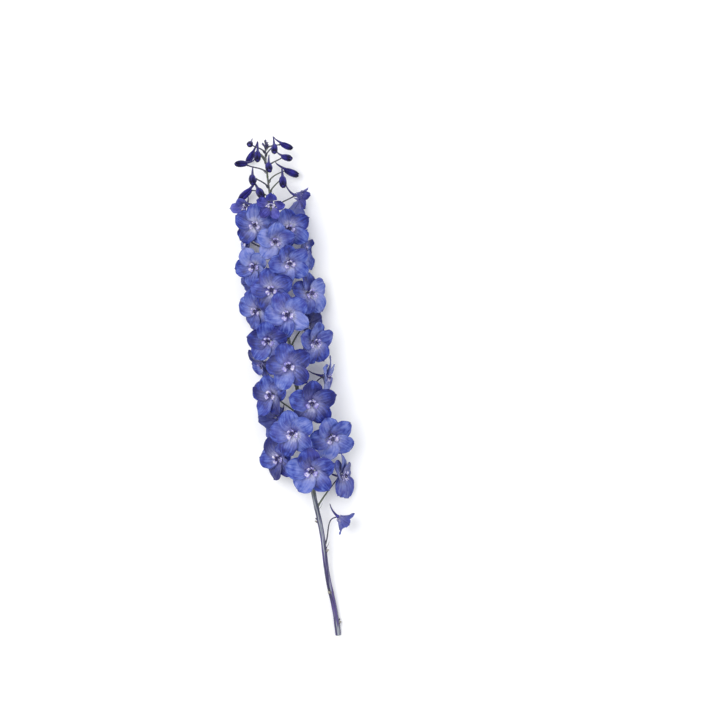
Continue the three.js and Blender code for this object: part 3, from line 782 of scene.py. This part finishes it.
def add_stem(shape):
    s = np.linspace(0, STEM_LENGTH, STEM_ROWS)
    nodes = [stub[0] for stub in LEAF_STUBS] + [flower.root for flower in flowers]
    swell = 1 + sum(0.07 * bell(s - node, 3.5) for node in nodes)
    taper = 1 - 0.6 * smooth(STEM_LENGTH - 5, STEM_LENGTH, s)

    def ribs(t, turn):
        return 1 + (0.035 * np.cos(8 * turn + 3 * t) + 0.018 * np.cos(13 * turn - 5 * t)) * (1 - 0.4 * t)

    add_tube(shape, stem_point(s), stem_radius(s) * swell * taper, STEM_SIDES, "stem", 0.5, ribs)


def add_cut_end(shape):
    """The pale cut face of the stem: a rim, a ring of pith and a hollow."""
    way = stem_way(0)
    x = unit(UP - way * UP.dot(way))
    turn = circle(32)
    y = np.cross(x, way)
    centres = [stem_point(0) - way * height for height in CUT_HEIGHTS]
    rings = [ring(at, STEM_RADIUS * share, x, y, turn) for at, share in zip(centres, CUT_SHARES)]
    ends = [centres[0] + way * 0.5, centres[-1]]
    add_rings(shape, rings, ends, CUT_SHARES, [(0, 0, 1), (0, 0, 1)], "pith", 0.5, low=0.05)


def add_stalk(shape, flower):
    t = np.linspace(0, 1, 22)
    line = stalk_point(flower, t)
    if flower.kind == "tip":
        line = line[:-1]
    elif flower.kind == "bud":
        line = np.concatenate([line, [flower.hub]])
    else:
        line = np.concatenate([line, [flower.hub + flower.face * HUB_BACK]])
    radius = STALK.radius if flower.kind == "open" else STALK.young_radius
    share = np.linspace(0, 1, len(line))
    radii = mix(radius, STALK.tip_radius, share) * (1 + 0.5 * bell(share, 0.1))
    radii = radii * (1 + 0.22 * smooth(0.86, 1, share))
    add_tube(shape, line, radii * 0.96, 12, "stalk", draw(flower.k, STALK_TINT), ribbed(5))


def add_bract(shape, root, way, out, length, width, tint):
    """A small narrow leaf: it leaves its root along way and bends towards out."""
    u, v = grid(np.linspace(0, 1, 13), np.linspace(-1, 1, 7))
    side = unit(np.cross(way, out))
    line = root + way * length * u[..., None] + out * (0.42 * length * u**2)[..., None]
    half = width * np.sin(math.pi * np.clip(0.12 + 0.88 * u, 0, 1)) ** 0.7
    fold = 0.35 * half * v * v
    points = line + side * (half * v)[..., None] + out * fold[..., None]
    add_blade(shape, pressed(points, 0.3), u, v, 0.3 * (1 - 0.5 * u), "bract", tint)


def add_bracts(shape, flower):
    """The bract that a stalk springs from, and the two bracteoles below its flower."""
    k, out = flower.k, flower.out
    way = stem_way(flower.root)
    tint = draw(k, BRACT_DRAWS + 1)
    root = stem_point(flower.root) + out * stem_radius(flower.root) * 0.85 - way * 1.5
    length = mix(9, 5, flower.height) * (1 + 0.2 * jitter(k, BRACT_DRAWS))
    add_bract(shape, root, unit(way * 0.5 + out * 0.85), unit(way * 0.3 - out * 0.2), length, 0.75, tint)
    for n, at in enumerate((0.74, 0.8)):
        point = stalk_point(flower, at)
        heading = unit(stalk_point(flower, at + 0.02) - point)
        side = unit(np.cross(heading, out)) * (1 if n else -1)
        small = mix(4.6, 3, flower.height) * (1 + 0.2 * jitter(k, BRACT_DRAWS + 2 + n))
        add_bract(shape, point + side * 0.6, unit(heading * 0.7 + side * 0.5), side, small, 0.42, tint)


def add_leaf_stub(shape, s, azimuth, length, radius):
    """The torn stub of a leaf's stalk, and the small bud in its angle."""
    way = stem_way(s)
    out = stem_side(s, math.radians(azimuth))
    t = np.linspace(0.5, 1, 18)
    line = stem_point(s) + out * ((stem_radius(s) + length) * t)[:, None]
    line = line + way * (0.8 * length * t**2)[:, None]
    radii = radius * np.interp(t, [0.5, 0.62, 0.8, 0.94, 1], [2.1, 1.45, 1.1, 1, 0.6])

    def torn(t, turn):
        return 1 + 0.07 * np.cos(5 * turn) + 0.12 * smooth(0.7, 1, t) * np.sin(4 * turn + 3 * t + 1)

    add_tube(shape, line, radii, 24, "stub", draw(int(s), 1), torn)
    bud = stem_point(s + 4) + out * (stem_radius(s) + 0.4)
    add_bead(shape, bud, way + out * 0.5, 3.2, 0.85, "bract", draw(int(s), 2), sides=9, rows=9)


def add_young_tip(shape):
    """The growing tip of the stem: a tuft of tiny buds, each with its bract."""
    way = stem_way(STEM_LENGTH - 2)
    for i in range(YOUNGEST):
        out = stem_side(STEM_LENGTH - 2, GOLDEN_ANGLE * i)
        share = i / (YOUNGEST - 1)
        length = mix(6.5, 3, share)
        root = stem_point(STEM_LENGTH - mix(9, 0.5, share))
        lean = unit(way + out * mix(0.9, 0.1, share))
        middle = root + lean * (length * 0.7 + 0.6)
        add_bead(shape, middle, lean, length, length * 0.22, "tip", draw(i, 5), sides=10, rows=10)
        add_bract(shape, root + out * 0.4, lean, out, length * 1.15, 0.5, draw(i, 6))


def stem_shape():
    shape = Shape()
    add_stem(shape)
    add_young_tip(shape)
    add_cut_end(shape)
    for flower in [side_flower, *flowers]:
        add_stalk(shape, flower)
        add_bracts(shape, flower)
    for stub in LEAF_STUBS:
        add_leaf_stub(shape, *stub)
    return shape


# ---- materials


def linear(colour):
    """An sRGB colour, 0 to 255, as Blender's linear values."""
    parts = [c / 255 for c in colour]
    return [*(c / 12.92 if c <= 0.04045 else ((c + 0.055) / 1.055) ** 2.4 for c in parts), 1.0]


class Finish:
    """One material under construction: short names for the nodes that it needs.

    body is its colour so far. Colours are sRGB, 0 to 255, or the outputs of nodes.
    """

    def __init__(self, name, roughness, specular=0.5, **values):
        self.material = bpy.data.materials.new(name)
        self.material.use_nodes = True
        self.tree = self.material.node_tree
        self.shader = self.tree.nodes["Principled BSDF"]
        self.body = None
        values.update(Roughness=roughness, Specular_IOR_Level=specular)
        for socket, value in values.items():
            self.shader.inputs[socket.replace("_", " ")].default_value = value

    def node(self, kind, inputs, **settings):
        made = self.tree.nodes.new(kind)
        for key, value in settings.items():
            setattr(made, key, value)
        for key, value in inputs.items():
            self.put(made.inputs[key], value)
        return made

    def put(self, socket, value):
        if isinstance(value, bpy.types.NodeSocket):
            self.tree.links.new(value, socket)
        else:
            socket.default_value = value

    def math(self, operation, a, b=0.0):
        return self.node("ShaderNodeMath", {0: a, 1: b}, operation=operation).outputs[0]

    def plus(self, a, b):
        return self.math("ADD", a, b)

    def minus(self, a, b):
        return self.math("SUBTRACT", a, b)

    def times(self, a, b):
        return self.math("MULTIPLY", a, b)

    def vectors(self, operation, a, b):
        return self.node("ShaderNodeVectorMath", {0: a, 1: b}, operation=operation).outputs[0]

    def step(self, x, low, high, start=0.0, end=1.0):
        inputs = {"Value": x, "From Min": low, "From Max": high, "To Min": start, "To Max": end}
        return self.node("ShaderNodeMapRange", inputs, interpolation_type="SMOOTHSTEP").outputs[0]

    def blend(self, share, a, b):
        """Colour a, with a share of colour b in it."""
        a, b = (linear(colour) if isinstance(colour, tuple) else colour for colour in (a, b))
        return self.node("ShaderNodeMix", {0: share, 6: a, 7: b}, data_type="RGBA").outputs[2]

    def paint(self, share, colour, strength=None):
        """Lays a share of a colour over the body."""
        if strength is not None:
            share = self.times(share, strength)
        self.body = self.blend(share, self.body, colour)

    def noise(self, scale, detail=3.0, vector=None, stretch=(1, 1, 1)):
        where = vector or self.node("ShaderNodeTexCoord", {}).outputs["Object"]
        where = self.node("ShaderNodeMapping", {"Vector": where, "Scale": stretch}).outputs[0]
        inputs = {"Vector": where, "Scale": scale, "Detail": detail}
        return self.node("ShaderNodeTexNoise", inputs).outputs["Fac"]

    def vector(self, name):
        return self.node("ShaderNodeAttribute", {}, attribute_name=name).outputs["Vector"]

    def data(self, name):
        return self.node("ShaderNodeSeparateXYZ", {0: self.vector(name)}).outputs

    def lines(self, x, width):
        """1 on thin lines where x is a whole number, and 0 between them."""
        return self.step(self.math("PINGPONG", x, 0.5), 0.0, width, 1.0, 0.0)

    def sss(self, weight, depth, radius=(0.6, 0.7, 1.0)):
        """Light that passes through: depth in mm."""
        self.shader.inputs["Subsurface Weight"].default_value = weight
        self.shader.inputs["Subsurface Scale"].default_value = depth * MM
        self.shader.inputs["Subsurface Radius"].default_value = radius

    def done(self, height=None, depth=0.0):
        """The material, with bumps of a depth in mm where height is given."""
        if height is not None:
            inputs = {"Height": height, "Distance": depth * MM, "Strength": 1.0}
            self.put(self.shader.inputs["Normal"], self.node("ShaderNodeBump", inputs).outputs[0])
        self.put(self.shader.inputs["Base Color"], self.body)
        return self.material


BLUE = SimpleNamespace(
    deep=(8, 14, 94), mid=(36, 52, 144), light=(84, 102, 176), violet=(56, 48, 134),
    pale=(146, 150, 200), white=(222, 222, 238), back=(86, 90, 154), edge=(24, 22, 98),
    spot=(26, 22, 64), throat=(46, 38, 138),
)
DUSK = SimpleNamespace(
    deep=(18, 16, 92), mid=(40, 40, 132), light=(76, 80, 166), violet=(54, 40, 128),
    pale=(112, 110, 178), white=(164, 162, 206), back=(56, 54, 130), edge=(22, 18, 76),
    spot=(22, 18, 46), throat=(40, 28, 112),
)


def sepal_material(name, tones):
    """Watered blues, pale veins from the claw out, a dark tip, and by its flare a white or dark throat."""
    f = Finish(name, 0.52, 0.35, Sheen_Weight=0.12, Sheen_Roughness=0.4)
    f.sss(0.3, 1.1)
    along, across, front = f.data("place")
    tint, flare, _ = f.data("mood")
    mottle = f.noise(130, 4)
    broad = f.noise(45, 2)
    apart = f.vectors("MULTIPLY", f.vector("mood"), (23, 31, 17))
    rays = f.noise(1, 3, f.vectors("ADD", f.vector("place"), apart), (1.6, 5.5, 0))
    depth = f.plus(f.times(mottle, 0.9), f.times(rays, 0.7))
    depth = f.plus(f.minus(depth, 0.57), f.times(tint, 0.6))
    f.body = f.blend(f.step(depth, 0.28, 0.55), tones.deep, tones.mid)
    f.paint(f.step(depth, 0.46, 0.74), tones.light)
    f.paint(f.step(depth, 0.66, 0.95, 0, 0.6), tones.pale)
    f.paint(f.step(broad, 0.5, 0.72, 0, 0.45), tones.violet)
    side = f.math("ABSOLUTE", across)
    sway = f.times(f.minus(f.noise(150, 2), 0.5), 0.3)
    swayed = f.plus(across, f.times(sway, along))
    main = f.lines(f.times(swayed, 4), 0.14)
    branch = f.lines(f.plus(f.times(swayed, 9), f.times(along, 1.2)), 0.16)
    near = f.step(along, 0.15, 0.85, 1, 0.12)
    veins = f.math("MAXIMUM", f.times(main, near), f.times(branch, f.times(near, 0.55)))
    f.paint(veins, tones.pale, 0.3)
    ragged = f.plus(along, f.times(f.minus(f.noise(300, 3), 0.5), 0.25))
    ragged = f.minus(ragged, f.times(veins, 0.12))
    f.paint(f.step(ragged, 0.22, 0.8, 0.75, 0), tones.pale, flare)
    f.paint(f.step(ragged, 0.14, 0.42, 1, 0), tones.white, flare)
    f.paint(f.step(ragged, 0.2, 0.4, 0.85, 0), tones.throat, f.minus(1, flare))
    rim = f.math("MAXIMUM", f.step(side, 0.82, 1), f.step(along, 0.93, 1))
    f.paint(rim, tones.edge, 0.32)
    tip = f.times(f.step(along, 0.86, 0.97), f.step(side, 0.08, 0.34, 1, 0))
    f.paint(tip, tones.spot, f.minus(0.8, f.times(front, 0.4)))
    on_back = f.minus(1, front)
    behind = f.blend(0.55, f.body, tones.back)
    midrib = f.step(side, 0.02, 0.1, 1, 0)
    behind = f.blend(f.times(midrib, 0.6), behind, tones.edge)
    f.paint(on_back, behind)
    fine = f.noise(1500, 2)
    return f.done(f.plus(f.times(veins, 0.6), f.times(fine, 0.5)), 0.16)


def spur_material():
    f = Finish("spur", 0.5, 0.35, Sheen_Weight=0.1)
    f.sss(0.15, 0.8)
    along, across, _ = f.data("place")
    f.body = f.blend(f.step(along, 0, 0.35), (44, 40, 134), (26, 18, 94))
    f.paint(f.step(along, 0.8, 1), (46, 36, 60))
    f.paint(f.lines(f.times(across, 4), 0.3), (80, 76, 150), 0.35)
    return f.done(f.noise(900, 3, stretch=(1, 0.3, 1)), 0.2)


def bee_material():
    """The small petals: whitish violet with darker rims and blotches, and dark in the throat."""
    f = Finish("bee_petal", 0.55, 0.3, Sheen_Weight=0.15)
    f.sss(0.3, 1)
    along, across, _ = f.data("place")
    tint = f.data("mood")[0]
    side = f.math("ABSOLUTE", across)
    f.body = f.blend(tint, (226, 222, 238), (180, 176, 224))
    f.paint(f.step(f.noise(420, 3), 0.44, 0.58, 0, 0.8), (104, 96, 184))
    rim = f.math("MAXIMUM", f.step(side, 0.72, 1), f.step(along, 0.88, 1))
    f.paint(rim, (92, 78, 172), 0.8)
    f.paint(f.lines(f.times(across, 3.5), 0.14), (140, 128, 210), 0.35)
    f.paint(f.step(along, 0.08, 0.46, 0.96, 0), (30, 22, 82))
    return f.done(f.noise(1400, 2), 0.12)


def bud_material():
    """Closed sepals: dark violet, darker still at the tip and along the keel, with paler edges."""
    f = Finish("bud", 0.5, 0.16)
    f.sss(0.15, 0.8)
    along, across, _ = f.data("place")
    tint = f.data("mood")[0]
    side = f.math("ABSOLUTE", across)
    f.body = f.blend(f.step(f.noise(160, 3), 0.35, 0.65), (10, 6, 56), (34, 27, 122))
    f.paint(tint, (72, 66, 178), 0.45)
    f.paint(f.step(along, 0.58, 0.92, 0, 0.92), (10, 6, 34))
    f.paint(f.step(side, 0.76, 1, 0, 0.5), (92, 86, 186))
    f.paint(f.step(side, 0.03, 0.16, 1, 0), (18, 15, 54), 0.6)
    return f.done(f.plus(f.noise(1100, 3), f.lines(f.times(across, 5), 0.2)), 0.18)


def core_material():
    f = Finish("bud_core", 0.6)
    grain = f.noise(700, 3)
    f.body = f.blend(grain, (22, 14, 76), (62, 54, 146))
    return f.done(grain, 0.2)


def stem_material():
    """Fresh stem: violet low down, grey green above, with dark streaks, pale streaks of painted highlight
    and faint grooves.
    """
    f = Finish("stem", 0.46, 0.34, Coat_Weight=0.05, Coat_Roughness=0.35)
    f.sss(0.05, 0.8, (1, 0.9, 0.5))
    along, across, _ = f.data("place")
    sway = f.node("ShaderNodeCombineXYZ", {1: f.times(f.noise(70, 2), 0.12)}).outputs[0]
    skin = f.vectors("ADD", f.vector("place"), sway)
    streak = f.noise(1, 2, skin, (13, 4.2, 0))
    patch = f.noise(14, 3)
    height = f.plus(along, f.times(f.minus(patch, 0.5), 0.35))
    f.body = f.blend(f.step(height, 0.14, 0.4), (76, 58, 124), (90, 106, 100))
    f.paint(f.step(height, 0.4, 0.7), (150, 156, 122))
    f.paint(f.step(height, 0.86, 0.99), (78, 72, 92))
    f.paint(f.step(streak, 0.4, 0.56, 0, 0.85), (26, 22, 64))
    # Pale streaks of painted highlight along the stem, standing in for the shine on its ridges.
    painted_highlight_streaks = f.noise(1, 2, skin, (17, 6.5, 3))
    f.paint(f.step(painted_highlight_streaks, 0.5, 0.66, 0, 0.8), (166, 172, 176))
    grooves = f.lines(f.times(across, 8), 0.35)
    f.paint(grooves, (144, 150, 150), 0.14)
    return f.done(f.plus(f.times(grooves, 0.7), f.noise(300, 4, stretch=(3, 0.4, 3))), 0.2)


def stalk_material():
    """Thin stalks: dark violet grey and grey green, turning violet towards the flower."""
    f = Finish("stalk", 0.48, 0.45)
    f.sss(0.05, 0.6, (1, 0.9, 0.5))
    along, across, _ = f.data("place")
    tint = f.data("mood")[0]
    mixed = f.plus(f.times(tint, 0.5), f.times(f.noise(90, 3), 0.6))
    f.body = f.blend(f.step(mixed, 0.3, 0.8), (44, 38, 70), (84, 92, 76))
    f.paint(f.step(along, 0.55, 0.95, 0, 0.8), (46, 36, 98))
    f.paint(f.lines(f.times(across, 3), 0.3), (122, 128, 120), 0.3)
    return f.done(f.noise(700, 3), 0.15)


def bract_material():
    f = Finish("bract", 0.5, 0.4)
    f.sss(0.1, 0.6)
    along, across, _ = f.data("place")
    tint = f.data("mood")[0]
    f.body = f.blend(tint, (84, 98, 70), (64, 56, 84))
    f.paint(f.step(along, 0.6, 1), (58, 44, 70))
    rib = f.step(f.math("ABSOLUTE", across), 0.05, 0.25, 1, 0)
    f.paint(rib, (130, 140, 100), 0.4)
    return f.done(f.noise(900, 3), 0.15)


def stub_material():
    """Torn, dried plant tissue: pale at its end, violet grey at its root."""
    f = Finish("stub", 0.75, 0.2)
    along = f.data("place")[0]
    fibre = f.noise(420, 4, stretch=(2, 0.5, 2))
    f.body = f.blend(f.step(along, 0.1, 0.75), (92, 88, 98), (164, 160, 148))
    f.paint(f.step(fibre, 0.4, 0.65, 0, 0.6), (98, 90, 92))
    return f.done(fibre, 0.5)


def pith_material():
    f = Finish("pith", 0.6, 0.3)
    f.sss(0.15, 1, (1, 1, 0.6))
    share = f.data("place")[0]
    f.body = f.blend(f.step(share, 0.55, 0.95), (214, 220, 178), (134, 150, 104))
    f.paint(f.step(share, 0.1, 0.4, 0.7, 0), (118, 116, 84))
    cells = f.noise(2600, 2)
    f.paint(cells, (150, 158, 118), 0.35)
    return f.done(cells, 0.2)


def small_material(name, dark, light, roughness):
    """The look of a thing too small to show more than a grain."""
    f = Finish(name, roughness, 0.35)
    tint = f.data("mood")[0]
    grain = f.noise(1600, 3)
    f.body = f.blend(f.plus(f.times(grain, 0.6), f.times(tint, 0.4)), dark, light)
    return f.done(grain, 0.1)


# ---- assembly


def dress(shape, name, finishes, slot, *nodes):
    """Makes a shape one piece of the scene, in the place of the frame's nodes."""
    piece = shape.object(name, finishes)
    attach(piece, "root")
    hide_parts(*nodes)


spur_finish = spur_material()
stalk_finish = stalk_material()
bract_finish = bract_material()
bee_finishes = {
    "bee": bee_material(),
    "hair": small_material("beard_hair", (206, 200, 224), (246, 244, 250), 0.6),
    "filament": small_material("filament", (92, 82, 168), (176, 170, 222), 0.5),
    "anther": small_material("anther", (24, 20, 56), (74, 66, 112), 0.65),
}
open_finishes = {
    "sepal": sepal_material("sepal", BLUE), "spur": spur_finish, "stalk": stalk_finish, **bee_finishes,
}
young_finishes = {**open_finishes, "sepal": sepal_material("young_sepal", DUSK)}
bud_finishes = {"bud": bud_material(), "bud_core": core_material(), "spur": spur_finish}
stem_finishes = {
    "stem": stem_material(), "stalk": stalk_finish, "bract": bract_finish,
    "stub": stub_material(), "pith": pith_material(),
    "tip": small_material("young_bud", (34, 30, 78), (78, 74, 122), 0.55),
}

flowers = placed_flowers()
dress(stem_shape(), "stem_and_stalks", stem_finishes, "stem", "stem")
dress(flower_shape(side_flower), "side_bloom", open_finishes, "young_sepals", "side_flower")
for flower in flowers:
    kind = flower.kind
    number = f"{flower.k - FIRST_OF_KIND[kind] + 1:02d}"
    if kind == "open":
        dress(flower_shape(flower), "bloom_" + number, open_finishes, "sepals", "flower_" + number)
        dress(bee_shape(flower), "bloom_bee_" + number, bee_finishes, "bee", "bee_" + number)
    elif kind == "opening":
        young = flower_shape(flower)
        dress(young, "young_bloom_" + number, young_finishes, "young_sepals", "opening_" + number)
    elif kind == "bud":
        dress(bud_shape(flower), "closed_bud_" + number, bud_finishes, "bud", "bud_" + number)
    else:
        dress(bud_shape(flower), "tip_bud_" + number, bud_finishes, "bud", "stem")

# ---- floor, light and camera

FLOOR_SIZE = 14.0
LEAN = math.radians(9.3)  # how far the stem leans to the left in the picture
PICTURE_WIDTH = 0.823  # metres of floor across the picture
PIXELS = 720
CUT_END_PIXEL = (338, 638)
CAMERA_HEIGHT = 2.02
SENSOR = 36.0
SKY_COLOUR, SKY_STRENGTH = (0.97, 0.98, 1.0, 1), 0.74
KEY_LIGHT = dict(place=(-0.6, 0.5, 1.8), size=1.5, watts=26, colour=(1, 1, 1))
FILL_LIGHT = dict(place=(1.3, -0.4, 1.6), size=1.6, watts=10, colour=(0.96, 0.98, 1))


def make_floor():
    floor_mesh = bpy.data.meshes.new("floor")
    h = FLOOR_SIZE / 2
    floor_mesh.from_pydata([(-h, -h, 0), (h, -h, 0), (h, h, 0), (-h, h, 0)], [], [(0, 1, 2, 3)])
    floor = new_object("floor", floor_mesh)
    f = Finish("floor", 0.8, 0.1)
    f.body = f.blend(f.noise(4, 2), (246, 246, 247), (249, 249, 250))
    floor_mesh.materials.append(f.done())


def make_light(name, place, size, watts, colour):
    data = bpy.data.lights.new(name, "AREA")
    data.shape = "DISK"
    data.size = size
    data.energy = watts
    data.color = colour
    light = new_object(name, data)
    light.location = place
    light.rotation_euler = (-Vector(place)).to_track_quat("-Z", "Y").to_euler()


def make_camera():
    """Looks straight down, so that the stem's cut end is at its place in the picture."""
    data = bpy.data.cameras.new("camera")
    data.sensor_width = SENSOR
    data.lens = SENSOR * (CAMERA_HEIGHT - STEM_RISE * MM) / PICTURE_WIDTH
    camera = new_object("camera", data)
    right = Vector((math.cos(LEAN), -math.sin(LEAN), 0))
    up = Vector((math.sin(LEAN), math.cos(LEAN), 0))
    cut_end = Vector((-MIDDLE_X * MM, -MIDDLE_Y * MM, 0))
    scale = PICTURE_WIDTH / PIXELS
    offset = [(CUT_END_PIXEL[0] - PIXELS / 2) * scale, (PIXELS / 2 - CUT_END_PIXEL[1]) * scale]
    centre = cut_end - right * offset[0] - up * offset[1]
    turn = Matrix((right, up, right.cross(up))).transposed().to_4x4()
    camera.matrix_world = Matrix.Translation(centre + Vector((0, 0, CAMERA_HEIGHT))) @ turn
    bpy.context.scene.camera = camera


def make_world():
    world = bpy.data.worlds.new("studio")
    world.use_nodes = True
    back = world.node_tree.nodes["Background"]
    back.inputs["Color"].default_value = SKY_COLOUR
    back.inputs["Strength"].default_value = SKY_STRENGTH
    bpy.context.scene.world = world


make_floor()
make_world()
make_light("key", **KEY_LIGHT)
make_light("fill", **FILL_LIGHT)
make_camera()
bpy.context.scene.view_settings.view_transform = "Standard"
